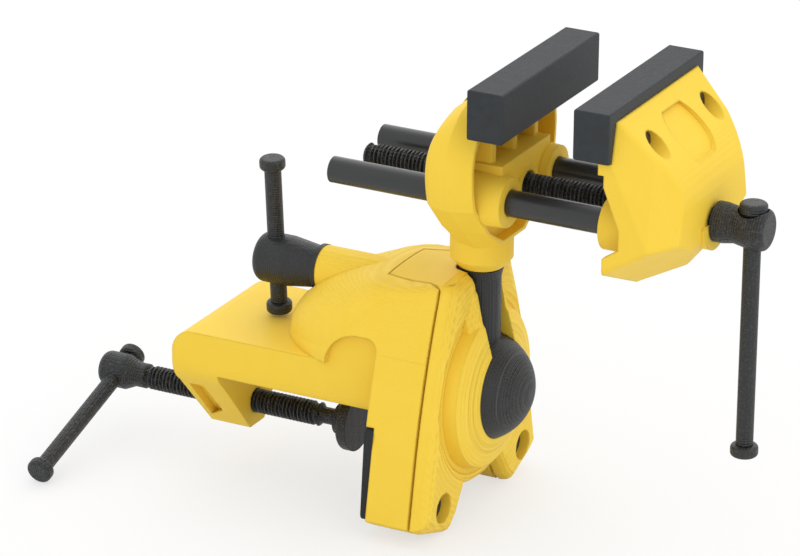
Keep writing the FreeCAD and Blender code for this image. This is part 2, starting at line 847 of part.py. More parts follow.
def hump_section(x):
    """Section of the hump above the arm: shouldered at the plate, round at the nose."""
    behind = max(0.0, plate_rear_x - x)
    reach = behind / hump_length
    narrowing = (1 - reach ** hump_plan_power) ** (1 / hump_plan_power)
    sinking = (1 - reach ** hump_side_power) ** (1 / hump_side_power)
    blend = min(1.0, behind / hump_blend_length)

    ahead = max(0.0, x - plate_rear_x) / (housing_rear_x - plate_rear_x)
    top = hump_top_z + (crown_z - hump_top_z) * ahead ** hump_rise_power
    top = arm_top_z + (top - arm_top_z) * sinking
    foot = flank_y(arm_top_z) * narrowing
    lean = (flank_y(arm_top_z) - shoulder_y) / (shoulder_z - arm_top_z)
    lean += (hump_nose_lean - lean) * blend
    camber = (crown_z - shoulder_z) * narrowing
    shoulder = foot - lean * (top - camber - arm_top_z)
    slide = shoulder_rounding + (hump_nose_softness * shoulder - shoulder_rounding) * blend
    slide = min(slide, hump_nose_softness * shoulder, hump_nose_softness * (top - arm_top_z))

    crown_end = (shoulder - slide, top - camber * (1 - slide / shoulder) ** 2)
    flank_end = (shoulder + lean * slide, top - camber - slide)
    soft = math.sqrt(0.5)
    via = (crown_end[0] + (flank_end[0] - crown_end[0]) * soft,
           flank_end[1] + (crown_end[1] - flank_end[1]) * soft)
    middle = ((foot + flank_end[0]) / 2 + flank_bulge, (arm_top_z + flank_end[1]) / 2)
    bed_z = arm_under_z + arm_end_radius / 2
    half = [
        ((crown_end[0] / 2, top - (top - crown_end[1]) / 4), crown_end),
        (via, flank_end), (middle, (foot, arm_top_z)), ((foot, bed_z),), ((0, bed_z),),
    ]
    return symmetric(x, (0, top), half)


def make_hump():
    """Domed back of the clamp, from the housing's plane to the nose over the arm."""
    stations = [housing_rear_x, 2 * housing_rear_x / 3, housing_rear_x / 3, plate_rear_x]
    for degrees in (4, 9, 15, 21, 28, 36, 44, 52, 60, 68, 75, 81, 85):
        stations.append(plate_rear_x - hump_length * math.sin(math.radians(degrees)))
    return Part.makeLoft([hump_section(x) for x in stations], True, True)


def tongue_footprint(grow):
    """Plan of the housing's tongue, let into the top of the hump."""
    rear_half = tongue_half_width + grow
    flare_half = tongue_flare_half_width + grow
    rear = tongue_rear_x - grow
    flare = tongue_flare_x - grow
    front = shoulder_y + grow
    shallow = tongue_flare_z - grow
    deep = tongue_block_z - grow
    height = 2 * tongue_half_width
    plan = outline("xy", shallow, (rear, -rear_half), [
        ((flare, -flare_half),), ((housing_rear_x, -front),), ((ball_x, -front),),
        ((ball_x, front),), ((housing_rear_x, front),), ((flare, flare_half),),
        ((rear, rear_half),)])
    body = block((rear, socket_mouth_radius), (-rear_half, rear_half), (deep, deep + height))
    return united(prism(plan, Z * height), body)


def arm_and_lug():
    end_bend = arm_end_radius * (1 - math.sqrt(0.5))
    side_view = outline("xz", -jaw_width, (plate_front_x, arm_top_z), [
        ((arm_end_x + arm_end_radius, arm_top_z),),
        ((arm_end_x + end_bend, arm_top_z - end_bend), (arm_end_x, arm_top_z - arm_end_radius)),
        ((arm_end_x, arm_under_z - arm_end_radius / 2),),
        ((lug_foot_x, lug_foot_z),), ((lug_inner_x + lug_inner_draft, lug_foot_z),),
        ((lug_inner_x, arm_under_z),), ((plate_front_x, arm_under_z),)])
    slope = math.atan2(arm_half_width - lug_foot_half_width, arm_under_z - lug_foot_z)
    bend = lug_hip_rounding
    hip_y = arm_half_width - bend * math.sin(slope)
    hip_z = arm_under_z - bend * math.cos(slope)
    end_view = symmetric(arm_end_x - 2 * arm_end_radius, (0, arm_top_z), [
        ((arm_half_width, arm_top_z),),
        ((arm_half_width, arm_under_z + bend / 2),),
        (((arm_half_width * 3 + hip_y) / 4, (arm_under_z * 3 + hip_z) / 4), (hip_y, hip_z)),
        ((lug_foot_half_width, lug_foot_z),), ((0, lug_foot_z),)])
    both = prism(side_view, Y * (2 * jaw_width)).common(prism(end_view, X * jaw_width * 2))

    margin = lug_pocket_margin
    pocket_right = lug_inner_x - lug_rib_width
    pocket = prism(outline("xz", -jaw_width, (arm_end_x + margin, arm_under_z - 2 * margin), [
        ((pocket_right - margin / 2, arm_under_z - 2 * margin),),
        ((pocket_right, lug_foot_z + 2 * margin),),
        ((lug_foot_x + margin / 2, lug_foot_z + margin),)]), Y * (2 * jaw_width))
    depth = lug_pocket_depth / math.cos(slope)
    core = prism(symmetric(arm_end_x - margin, (0, arm_top_z), [
        ((arm_half_width - depth + margin, arm_top_z),),
        ((arm_half_width - depth, arm_under_z),),
        ((lug_foot_half_width - depth, lug_foot_z),), ((0, lug_foot_z),)]), X * jaw_width)
    return both.cut(pocket.cut(core))


def flank_notch():
    """Arched relief in the hump's flanks, between the arm and the plate."""
    right = plate_rear_x
    bend = notch_right_bend
    easing = bend * (1 - math.sqrt(0.5))
    arch_run = notch_flat_x - notch_left_x
    arch_rise = notch_top_z - notch_foot_z
    floor_z = -jaw_width
    rear = notch_left_x - hump_length
    view = outline("xz", -2 * jaw_width, (rear, floor_z), [
        ((rear, arm_top_z),), ((notch_left_x, arm_top_z),), ((notch_left_x, notch_foot_z),),
        ((notch_left_x + arch_run / 3, notch_foot_z + arch_rise * 2 / 3),
         (notch_flat_x, notch_top_z)),
        ((right - bend, notch_top_z),),
        ((right - easing, notch_top_z - easing), (right, notch_top_z - bend)),
        ((right, floor_z),)])
    between = block((-4 * jaw_width, jaw_width), (-arm_half_width, arm_half_width),
                    (-2 * jaw_width, 2 * jaw_width))
    return prism(view, Y * (4 * jaw_width)).cut(between)


def make_frame():
    plate = prism(clamp_outline(plate_rear_x, 0), X * (plate_front_x - plate_rear_x))
    plate = plate.common(block((plate_rear_x, plate_front_x), (-jaw_width, jaw_width),
                               (-jaw_width, notch_top_z - notch_right_bend)))
    boss = cylinder(lock_boss_radius, (lock_boss_x, 0, lock_z), (tongue_rear_x, 0, lock_z))
    ahead = block((plate_front_x, plate_front_x + jaw_width), (-jaw_width, jaw_width),
                  (-jaw_width, 2 * jaw_width))
    hump = make_hump().cut(ahead).cut(flank_notch())
    frame = united(hump, plate, arm_and_lug(), boss)

    recess = block((plate_rear_x - air, pad_thickness), (-jaw_width, jaw_width),
                   (-jaw_width, recess_top_z))
    cuts = [
        recess,
        Part.makeSphere(ball_radius + fit, V(ball_x, 0, ball_z)),
        cylinder(slot_half_width, (ball_x, 0, ball_z), (ball_x, 0, crown_z + seam)),
        tongue_footprint(seam),
        cylinder(lock_thread_radius + air, (lock_boss_x - air, 0, lock_z),
                 (tongue_rear_x, 0, lock_z)),
        cylinder(lock_head_radius + air, (lock_boss_x - lock_head_length, 0, lock_z),
                 (lock_boss_x, 0, lock_z)),
        cylinder(clamp_thread_radius + fit, (arm_end_x - lug_hip_rounding, 0, 0),
                 (lug_inner_x + lug_hip_rounding, 0, 0)),
    ]
    for side in (-1, 1):
        y = side * ear_screw_y
        cuts.append(cylinder(ear_screw_radius + fit, (pad_thickness, y, ear_screw_z),
                             (plate_front_x + seam, y, ear_screw_z)))
        cuts.append(hexagon(ear_nut_across_flats + 2 * fit, pad_thickness - fit, ear_screw_z,
                            ear_nut_thickness + fit, y))
    for cut in cuts:
        frame = frame.cut(cut)
    return frame


def neck_section(z, crest_x, spread):
    """Plan of the neck that runs up both sides of the slot."""
    crest = neck_crest_half_width + spread
    foot = neck_foot_half_width + spread
    foot_x = crest_x - neck_foot_drop
    return outline("xy", z, (housing_rear_x - air, -foot), [
        ((foot_x, -foot),), ((crest_x, -crest),), ((crest_x, crest),), ((foot_x, foot),),
        ((housing_rear_x - air, foot),)])


def make_neck():
    crown_x = neck_top_x + neck_top_z - crown_z
    neck = Part.makeLoft([
        neck_section(ball_z, neck_low_x, 0), neck_section(neck_low_z, neck_low_x, 0),
        neck_section(neck_mid_z, neck_mid_x, 0), neck_section(neck_top_z, neck_top_x, 0),
        neck_section(crown_z, max(crown_x, housing_rear_x + neck_foot_drop), neck_spread),
    ], True, True)
    return neck


def make_front_housing():
    rounding = [clamp_outline(housing_rear_x, 0)]
    for degrees in (0, 25, 50, 70, 88):
        angle = math.radians(degrees)
        x = skirt_edge_x + (skirt_x - skirt_edge_x) * math.sin(angle)
        rounding.append(clamp_outline(x, skirt_rounding * (1 - math.cos(angle))))
    skirt = Part.makeLoft(rounding, True, True)
    skirt = skirt.cut(turned([
        (ring_foot_radius - air, skirt_x + air), (ring_foot_radius - air, moat_x),
        (moat_radius, moat_x), (moat_rim_radius, skirt_x + air),
    ], (0, 0, ball_z), X))
    ring = turned([
        (0, housing_rear_x), (ring_foot_radius, housing_rear_x), (ring_foot_radius, moat_x),
        (ring_shoulder_radius, ring_shoulder_x), (land_edge_radius, land_edge_x),
        (socket_mouth_radius, land_x), (0, land_x),
    ], (0, 0, ball_z), X)
    neck = make_neck().common(prism(clamp_outline(housing_rear_x, 0), X * jaw_width))
    behind = block((-jaw_width, housing_rear_x), (-jaw_width, jaw_width),
                   (-jaw_width, 2 * jaw_width))
    tongue = make_hump().common(tongue_footprint(0)).common(behind)
    pieces = [ring, neck, tongue]
    for side in (-1, 1):
        y = side * ear_screw_y
        pieces.append(cylinder(ear_rim_radius, (housing_rear_x, y, ear_screw_z),
                               (ear_rim_x, y, ear_screw_z)))
        pieces.append(cylinder(spacer_radius, (housing_rear_x - spacer_height, y, ear_screw_z),
                               (housing_rear_x + air, y, ear_screw_z)))
    housing = united(skirt, *pieces)

    slot_top = crown_z + seam
    slot = united(
        cylinder(slot_half_width, (ball_x, 0, ball_z), (ball_x, 0, slot_top)),
        block((ball_x, ball_x + jaw_width), (-slot_half_width, slot_half_width),
              (ball_z, slot_top)))
    cuts = [
        Part.makeSphere(ball_radius + fit, V(ball_x, 0, ball_z)),
        slot,
        cylinder(lock_thread_radius + air, (tongue_rear_x - air, 0, lock_z), (ball_x, 0, lock_z)),
        hexagon(lock_nut_across_flats + 2 * fit, lock_nut_x, lock_z, ball_x - lock_nut_x),
    ]
    for side in (-1, 1):
        y = side * ear_screw_y
        cuts.append(cylinder(ear_screw_radius + fit, (plate_front_x - air, y, ear_screw_z),
                             (land_x, y, ear_screw_z)))
        cuts.append(cylinder(ear_hole_radius, (ear_seat_x, y, ear_screw_z),
                             (land_x, y, ear_screw_z)))
    for cut in cuts:
        housing = housing.cut(cut)
    return housing.removeSplitter()


def make_housing_screws():
    screws = []
    for side in (-1, 1):
        y = side * ear_screw_y
        head = cylinder(ear_screw_head_radius, (ear_seat_x, y, ear_screw_z),
                        (ear_seat_x + ear_screw_head_height, y, ear_screw_z))
        shank = cylinder(ear_screw_radius, (pad_thickness + air, y, ear_screw_z),
                         (ear_seat_x, y, ear_screw_z))
        socket = hexagon(ear_screw_head_radius, ear_seat_x + ear_screw_head_height / 2,
                         ear_screw_z, ear_screw_head_height, y)
        screws.append(united(head, shank).cut(socket))
    return Part.makeCompound(screws)


def make_housing_nuts():
    nuts = []
    for side in (-1, 1):
        y = side * ear_screw_y
        nut = hexagon(ear_nut_across_flats, pad_thickness + fit, ear_screw_z,
                      ear_nut_thickness - 2 * fit, y)
        nuts.append(nut.cut(cylinder(ear_screw_radius + fit, (0, y, ear_screw_z),
                                     (plate_front_x, y, ear_screw_z))))
    return Part.makeCompound(nuts)


def make_bench_pad():
    pad = block((0, pad_thickness), (-pad_half_width, pad_half_width), (pad_bottom_z, pad_top_z))
    corners = [edge for edge in pad.Edges if edge.BoundBox.XLength > pad_thickness / 2]
    return pad.makeFillet(pad_corner, corners)


# ---------------------------------------------------------------- lock screw
def make_lock_screw():
    end = lock_head_end_x
    front = end + lock_head_length
    lead = lock_thread_radius / 5
    bend = lock_head_rounding * (1 - math.sqrt(0.5))
    profile = [
        (0, lock_screw_tip_x), (lock_thread_radius - lead, lock_screw_tip_x),
        (lock_thread_radius, lock_screw_tip_x - lead), (lock_thread_radius, front),
        (lock_neck_radius, front), (lock_head_radius, front - lock_head_swell),
        (lock_head_radius, end + lock_head_rounding),
        ((lock_head_radius - bend, end + bend), (lock_head_radius - lock_head_rounding, end)),
        (0, end),
    ]
    screw = turned(profile, (0, 0, lock_z), X)
    centre = V(lock_bar_x, 0, lock_z)
    axis = lock_bar_axis()
    hole = Part.makeCylinder(bar_radius + fit, 4 * lock_head_radius,
                             centre - axis * (2 * lock_head_radius), axis)
    return screw.cut(hole)


def lock_bar_axis():
    tilt = math.radians(lock_bar_tilt)
    return V(0, -math.sin(tilt), math.cos(tilt))


def make_lock_handle():
    return handle(V(lock_bar_x, 0, lock_z), lock_bar_axis(), lock_bar_short, lock_bar_long,
                  lock_knob_radius)


def make_lock_nut():
    nut = hexagon(lock_nut_across_flats, lock_nut_x + fit, lock_z, lock_nut_thickness)
    return nut.cut(cylinder(lock_thread_radius + fit, (tongue_rear_x, 0, lock_z),
                            (ball_x, 0, lock_z)))


# ---------------------------------------------------------------- clamp screw
def make_clamp_screw():
    hub_rear = clamp_pad_face_x - clamp_pad_thickness - clamp_hub_length
    button_front = hub_rear + clamp_hub_length + clamp_button_length
    button_rear = button_front - clamp_button_length
    lead = clamp_thread_radius - clamp_neck_radius
    head_front = clamp_thread_left_x - clamp_collar_length
    bend = clamp_head_rounding * (1 - math.sqrt(0.5))
    profile = [
        (0, button_front), (clamp_button_radius, button_front),
        (clamp_button_radius, button_rear), (clamp_neck_radius, button_rear),
        (clamp_neck_radius, clamp_thread_right_x + lead),
        (clamp_thread_radius, clamp_thread_right_x), (clamp_thread_radius, clamp_thread_left_x),
        (clamp_collar_radius, clamp_thread_left_x), (clamp_collar_radius, head_front),
        (clamp_head_radius, head_front - clamp_collar_length),
        (clamp_head_radius, clamp_head_left_x + clamp_head_rounding),
        ((clamp_head_radius - bend, clamp_head_left_x + bend),
         (clamp_head_radius - clamp_head_rounding, clamp_head_left_x)),
        (0, clamp_head_left_x),
    ]
    screw = turned(profile, (0, 0, 0), X)
    axis = clamp_bar_axis()
    hole = Part.makeCylinder(bar_radius + fit, 4 * clamp_head_radius,
                             V(clamp_bar_x, 0, 0) - axis * (2 * clamp_head_radius), axis)
    return screw.cut(hole)


def clamp_bar_axis():
    drop = math.radians(clamp_bar_drop)
    return V(0, -math.cos(drop), -math.sin(drop))


def make_clamp_handle():
    short = clamp_head_radius + knob_height / 2 + fit
    return handle(V(clamp_bar_x, 0, 0), clamp_bar_axis(), short, clamp_bar_long,
                  clamp_knob_radius)


def make_clamp_pad():
    back = clamp_pad_face_x - clamp_pad_thickness
    hub_rear = back - clamp_hub_length
    bend = clamp_pad_rounding * (1 - math.sqrt(0.5))
    profile = [
        (0, clamp_pad_face_x), (clamp_pad_radius, clamp_pad_face_x),
        (clamp_pad_radius, back + clamp_pad_rounding),
        ((clamp_pad_radius - bend, back + bend), (clamp_pad_radius - clamp_pad_rounding, back)),
        (clamp_hub_radius, back), (clamp_hub_radius, hub_rear), (0, hub_rear),
    ]
    pad = turned(profile, (0, 0, 0), X)
    chamber = cylinder(clamp_button_radius + air, (back - air, 0, 0),
                       (back + clamp_button_length + air, 0, 0))
    neck = cylinder(clamp_neck_radius + fit, (hub_rear - air, 0, 0), (back, 0, 0))
    return pad.cut(chamber).cut(neck)


# ---------------------------------------------------------------- assembly
def build():
    main_bar, main_knobs = make_main_handle()
    lock_bar, lock_knobs = make_lock_handle()
    clamp_bar, clamp_knobs = make_clamp_handle()
    return {
        "clamp_frame": make_frame(),
        "front_housing": make_front_housing(),
        "bench_pad": make_bench_pad(),
        "housing_screws": make_housing_screws(),
        "housing_nuts": make_housing_nuts(),
        "lock_washer": make_ring(lock_thread_radius + fit, lock_washer_radius,
                                 lock_boss_x - lock_washer_thickness,
                                 lock_washer_thickness, lock_z),
        "lock_screw": make_lock_screw(),
        "lock_nut": make_lock_nut(),
        "lock_bar": lock_bar,
        "lock_bar_knobs": lock_knobs,
        "clamp_screw": make_clamp_screw(),
        "clamp_pad": make_clamp_pad(),
        "clamp_bar": clamp_bar,
        "clamp_bar_knobs": clamp_knobs,
        "ball_stud": make_ball_stud(),
        "fixed_jaw": make_fixed_jaw(),
        "fixed_jaw_pad": make_pad(fixed_pad_x, fixed_pad_screw_y, fixed_pad_screw_rise,
                                  fixed_pad_x),
        "fixed_pad_screws": make_fixed_pad_screws(),
        "main_nut": make_main_nut(),
        "moving_jaw": make_moving_jaw(),
        "moving_jaw_pad": make_pad(moving_pad_x, moving_pad_screw_y, moving_pad_screw_rise,
                                   hood_back_x),
        "moving_pad_screws": make_moving_pad_screws(),
        "guide_rod_near": make_guide_rod(-1),
        "guide_rod_far": make_guide_rod(1),
        "rod_pins": make_rod_pins(),
        "main_screw": make_main_screw(),
        "screw_clip": make_ring(clip_groove_radius + fit, clip_radius, clip_x, clip_thickness,
                                screw_z),
        "thrust_washer": make_ring(main_thread_radius + fit, washer_radius,
                                   clip_x + clip_thickness + fit, washer_thickness, screw_z),
        "main_bar": main_bar,
        "main_bar_knobs": main_knobs,
    }


os.makedirs("parts", exist_ok=True)
for node, shape in build().items():
    shape.exportStep("parts/" + node + ".step")
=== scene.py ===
import math

import bmesh
import bpy
from mathutils import Matrix, Vector


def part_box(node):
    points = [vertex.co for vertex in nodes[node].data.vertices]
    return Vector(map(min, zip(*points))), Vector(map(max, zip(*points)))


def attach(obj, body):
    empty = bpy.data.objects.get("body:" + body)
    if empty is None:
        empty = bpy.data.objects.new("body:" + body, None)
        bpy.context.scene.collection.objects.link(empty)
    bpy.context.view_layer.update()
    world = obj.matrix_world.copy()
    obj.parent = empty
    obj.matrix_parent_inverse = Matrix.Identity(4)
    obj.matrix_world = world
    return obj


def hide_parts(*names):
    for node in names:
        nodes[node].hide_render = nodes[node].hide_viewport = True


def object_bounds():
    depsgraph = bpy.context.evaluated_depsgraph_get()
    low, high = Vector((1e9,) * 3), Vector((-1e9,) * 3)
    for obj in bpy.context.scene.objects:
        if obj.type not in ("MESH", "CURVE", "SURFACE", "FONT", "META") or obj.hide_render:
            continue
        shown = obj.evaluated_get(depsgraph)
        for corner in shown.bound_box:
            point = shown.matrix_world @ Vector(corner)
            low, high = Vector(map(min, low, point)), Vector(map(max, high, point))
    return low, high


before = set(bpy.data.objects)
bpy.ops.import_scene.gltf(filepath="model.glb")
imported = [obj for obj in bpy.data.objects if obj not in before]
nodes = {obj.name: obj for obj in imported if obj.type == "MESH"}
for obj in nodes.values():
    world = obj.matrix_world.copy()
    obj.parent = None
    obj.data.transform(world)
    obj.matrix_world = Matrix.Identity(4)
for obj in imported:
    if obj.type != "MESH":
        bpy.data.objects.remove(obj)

cad_box = [list(corner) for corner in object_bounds()]
MM = 0.001

# ------------------------------------------------------------------ camera
AZIMUTH = 27.47       # degrees, 0 looks along +Y
ELEVATION = 21.88
ROLL = 0.50
SENSOR = 36           # mm
LENS = 202.35         # mm
CAMERA_AT = (0.66115, -1.28474, 0.63954)
NEAREST_SEEN = 0.01
FARTHEST_SEEN = 20

# ------------------------------------------------------------------ light
WHITE = (1, 1, 1, 1)
SKY = 1.05            # strength of the white world, where it lights the object
SKY_SHOWN = 1         # and where it is seen
SUNS = {              # soft suns: strength and where each comes from
    "key": (0.35, (0.80, -0.25, 0.50)),
    "fill": (0.60, (-0.35, 0.75, 0.55)),
}
SOFTNESS = 1.2        # radians

# ------------------------------------------------------------------ floor
FLOOR_SIZE = 20
FLOOR_ROUGHNESS = 0.9
FLOOR_BOUNCE = 0.8    # its colour, where it lights the object
FLOOR_SHADE = 0.32    # its colour where it is seen, which holds the object's shadow
FLOOR_GLOW = 0.625    # makes up the rest of its white

# ------------------------------------------------------------------ threads
PITCH = 1.5 * MM      # all three screws
THREAD_DEPTH = 0.85 * MM
STEPS_PER_TURN = 40
RIDGE_PROFILE = ((-0.42, 0), (-0.16, 1), (0.16, 1), (0.42, 0))  # along and up, in pitches and depths
RIDGE_SUNK = 0.06 * MM   # its foot lies this far inside the core
RIDGE_FADE = STEPS_PER_TURN / 2  # steps over which it rises from the core at either end
FLARE = 0.5 * PITCH   # cones from the crest down to the core
SHARP_ANGLE = math.radians(35)
THREADED = {          # screw: its body, and a node centred on its axis
    "main_screw": ("main_screw_body", "screw_clip"),
    "clamp_screw": ("clamp_screw_body", "clamp_pad"),
    "lock_screw": ("lock_screw_body", "lock_washer"),
}

# ------------------------------------------------------------------ bench pad
PAD_TOP_HALF = 38.6 * MM   # drawn out to the sides of its plate
PAD_FOOT_HALF = 41.6 * MM
PAD_FOOT_LIFT = 1.8 * MM

# ------------------------------------------------------------------ fine relief
LAYER = 0.85 * MM     # printed layers of the mouldings
CIRCLE_PITCH = 2.1 * MM
LINE_PITCH = 0.8 * MM  # lines on the jaw pads
RING_PITCH = 0.7 * MM  # rings on the ball
GRAIN = 0.9 * MM      # dotted skin of the black pieces
BALL_AT = (24.7 * MM, 0, 24.3 * MM)
BALL_SEAM = 38.2 * MM  # where the ball's seam runs, across X
# a pale line painted along the seam: a painted highlight on its edge, which fades out lower down
SEAM_HIGHLIGHT_WIDTH = 0.2 * MM
SEAM_HIGHLIGHT_LOW = 15 * MM    # height at which the seam's painted highlight begins to show
SEAM_HIGHLIGHT_HIGH = 36 * MM   # and at which it shows in full
MOULDED_EDGE = 1.0 * MM
PAD_EDGE = 0.4 * MM
STEEL_EDGE = 0.25 * MM
EDGE_SAMPLES = 4
LINE_FADE = 2         # power by which lines fade on a surface that turns along them
SHEEN_FADE = 4          # and the painted sheen on the jaw pads' faces across X
SPECKS_FROM = 0.50    # noise where specks begin
SPECKS_FULL = 0.72

# ------------------------------------------------------------------ colours, darker and lighter
# yellow: its darker shade also serves as the painted shade in the grooves of the printed lines
YELLOW = ((0.872, 0.590, 0.052), (0.935, 0.665, 0.084))
# the jaw pads' lighter shade also carries their painted sheen, on the faces across X
COVER_BLACK = ((0.020, 0.023, 0.026), (0.036, 0.041, 0.045))
STEEL_BLACK = ((0.013, 0.014, 0.015), (0.052, 0.055, 0.058))
ROD_BLACK = ((0.014, 0.015, 0.016), (0.022, 0.024, 0.025))
# the ball: its lighter shade also carries the painted highlight along its seam
BALL_BLACK = ((0.013, 0.014, 0.015), (0.044, 0.046, 0.048))
RUBBER_BLACK = ((0.016, 0.017, 0.018), (0.028, 0.030, 0.031))
ZINC = ((0.52, 0.52, 0.50), (0.64, 0.64, 0.62))

# colour sockets of a Mix node, which share their names with its other sockets
MIX_FACTOR = 0
MIX_LOW = 6
MIX_HIGH = 7
MIX_RESULT = 2


def make_camera():
    data = bpy.data.cameras.new("camera")
    data.lens = LENS
    data.sensor_width = SENSOR
    data.clip_start = NEAREST_SEEN
    data.clip_end = FARTHEST_SEEN
    camera = bpy.data.objects.new("camera", data)
    bpy.context.scene.collection.objects.link(camera)
    a, e, r = (math.radians(v) for v in (AZIMUTH, ELEVATION, ROLL))
    right = Vector((math.cos(a), math.sin(a), 0))
    back = Vector((math.sin(a) * math.cos(e), -math.cos(a) * math.cos(e), math.sin(e)))
    up = back.cross(right)
    rolled = (math.cos(r) * right + math.sin(r) * up, math.cos(r) * up - math.sin(r) * right)
    place = Matrix((*rolled, back)).transposed().to_4x4()
    place.translation = CAMERA_AT
    camera.matrix_world = place
    bpy.context.scene.camera = camera


# ------------------------------------------------------------------ materials
class Finish:
    """A procedural material: one Principled shader and the nodes that feed it."""

    def __init__(self, name, gloss=0.5, metallic=0.0, roughness=0.5):
        self.material = bpy.data.materials.new(name)
        self.material.use_nodes = True
        self.tree = self.material.node_tree
        self.shader = self.tree.nodes["Principled BSDF"]
        self.shader.inputs["Roughness"].default_value = roughness
        self.shader.inputs["Specular IOR Level"].default_value = gloss
        self.shader.inputs["Metallic"].default_value = metallic
        self.spot = self.add("ShaderNodeTexCoord").outputs["Object"]
        self.axes = self.add("ShaderNodeSeparateXYZ", {0: self.spot})
        self.normal = None

    def add(self, kind, inputs=None, **settings):
        """A node with its settings, and inputs that are values or sockets."""
        node = self.tree.nodes.new(kind)
        for key, value in settings.items():
            setattr(node, key, value)
        for key, value in (inputs or {}).items():
            if isinstance(value, bpy.types.NodeSocket):
                self.tree.links.new(value, node.inputs[key])
            else:
                node.inputs[key].default_value = value
        return node

    def math(self, operation, *values):
        node = self.add("ShaderNodeMath", dict(enumerate(values)), operation=operation)
        return node.outputs[0]

    def vector(self, operation, *values):
        return self.add("ShaderNodeVectorMath", dict(enumerate(values)), operation=operation)

    def noise(self, size, detail=2.0, stretch=(1, 1, 1)):
        """Noise whose blotches are about the given size, drawn out where stretch is below 1."""
        where = self.vector("MULTIPLY", self.spot, stretch).outputs[0]
        return self.add("ShaderNodeTexNoise", {
            "Vector": where, "Scale": 1 / size, "Detail": detail}).outputs[0]

    def waves(self, place, pitch):
        """From 0 to 1 and back, once in each pitch of a place."""
        turns = self.math("MULTIPLY", place, 2 * math.pi / pitch)
        return self.math("MULTIPLY_ADD", self.math("SINE", turns), 0.5, 0.5)

    def ridges(self, axis, pitch):
        """Waves along an object axis."""
        return self.waves(self.axes.outputs[axis], pitch)

    def facing(self, axis):
        """1 where the surface faces along the object axis, 0 where it lies along it."""
        normal = self.add("ShaderNodeSeparateXYZ", {
            0: self.add("ShaderNodeTexCoord").outputs["Normal"]})
        return self.math("ABSOLUTE", normal.outputs[axis])

    def fading(self, waves, axis):
        """The waves, where the surface faces along the axis, and less as it turns away."""
        return self.math("MULTIPLY", waves, self.math("POWER", self.facing(axis), LINE_FADE))

    def layers(self, axis, pitch):
        """Lines of printed layers, seen where the surface is nearly across the axis."""
        return self.fading(self.ridges(axis, pitch), axis)

    def circles(self, centre, pitch):
        """Circles round an axis along X, on the faces across it."""
        away = self.vector("SUBTRACT", self.spot, centre).outputs[0]
        across_x = self.vector("MULTIPLY", away, (0, 1, 1)).outputs[0]
        reach = self.vector("LENGTH", across_x).outputs["Value"]
        return self.fading(self.waves(reach, pitch), "X")

    def dots(self, pitch):
        """Raised dots where waves along all three axes cross."""
        along_x, along_y, along_z = (self.ridges(axis, pitch) for axis in "XYZ")
        return self.math("ADD", self.math("ADD", along_x, along_y), along_z)

    def ramp(self, value, start, end):
        """0 below the start, 1 beyond the end, and a slope between."""
        return self.add("ShaderNodeMapRange", {
            "Value": value, "From Min": start, "From Max": end}).outputs[0]

    def specks(self, size):
        """Sparse blotches of 1 on 0."""
        return self.ramp(self.noise(size), SPECKS_FROM, SPECKS_FULL)

    def colour(self, shades, factor):
        """Base colour between two shades."""
        low, high = shades
        mix = self.add("ShaderNodeMix", {
            MIX_LOW: (*low, 1), MIX_HIGH: (*high, 1), MIX_FACTOR: factor}, data_type="RGBA")
        self.tree.links.new(mix.outputs[MIX_RESULT], self.shader.inputs["Base Color"])

    def rough(self, low, high, **noise):
        """Roughness between two values, varied by the noise described."""
        spread = self.math("MULTIPLY_ADD", self.noise(**noise), high - low, low)
        self.tree.links.new(spread, self.shader.inputs["Roughness"])

    def soften(self, radius):
        """Rounded edges, by a bevelled normal."""
        self.normal = self.add("ShaderNodeBevel", {"Radius": radius}, samples=EDGE_SAMPLES).outputs[0]

    def bump(self, height, depth):
        """Relief on top of what the normal has so far."""
        inputs = {"Height": height, "Distance": depth}
        if self.normal:
            inputs["Normal"] = self.normal
        self.normal = self.add("ShaderNodeBump", inputs).outputs[0]

    def grain(self, depth, **noise):
        """Uneven relief of the noise described."""
        self.bump(self.noise(**noise), depth)

    def done(self):
        self.tree.links.new(self.normal, self.shader.inputs["Normal"])
        return self.material


def yellow_moulding(name, axis, relief, circle_relief=0.0):
    """Yellow plastic, printed in layers across an axis, and in circles round the ball.

    The reliefs are depths, and they also set how far the lines lighten the colour: painted shade,
    darker in the lines' grooves and lighter on their crests.
    """
    finish = Finish(name, gloss=0.12)
    finish.soften(MOULDED_EDGE)
    blotch_share = 0.5
    painted_layer_shade = 2
    layers = finish.layers(axis, LAYER)
    blotches = finish.math("MULTIPLY", finish.noise(size=9 * MM, detail=3), blotch_share)
    # the layer lines in the colour: painted shade of their grooves, over real blotches of tone
    shade = finish.math("MULTIPLY_ADD", layers, painted_layer_shade * relief / LAYER, blotches)
    if circle_relief:
        circles = finish.circles(BALL_AT, CIRCLE_PITCH)
        # the circles in the colour too: painted shade of their grooves
        shade = finish.math("MULTIPLY_ADD", circles, circle_relief / LAYER, shade)
        finish.bump(circles, circle_relief)
    finish.colour(YELLOW, shade)
    finish.rough(low=0.42, high=0.58, size=1.2 * MM)
    finish.bump(layers, relief)
    finish.grain(depth=0.03 * MM, size=0.7 * MM)
    return finish.done()


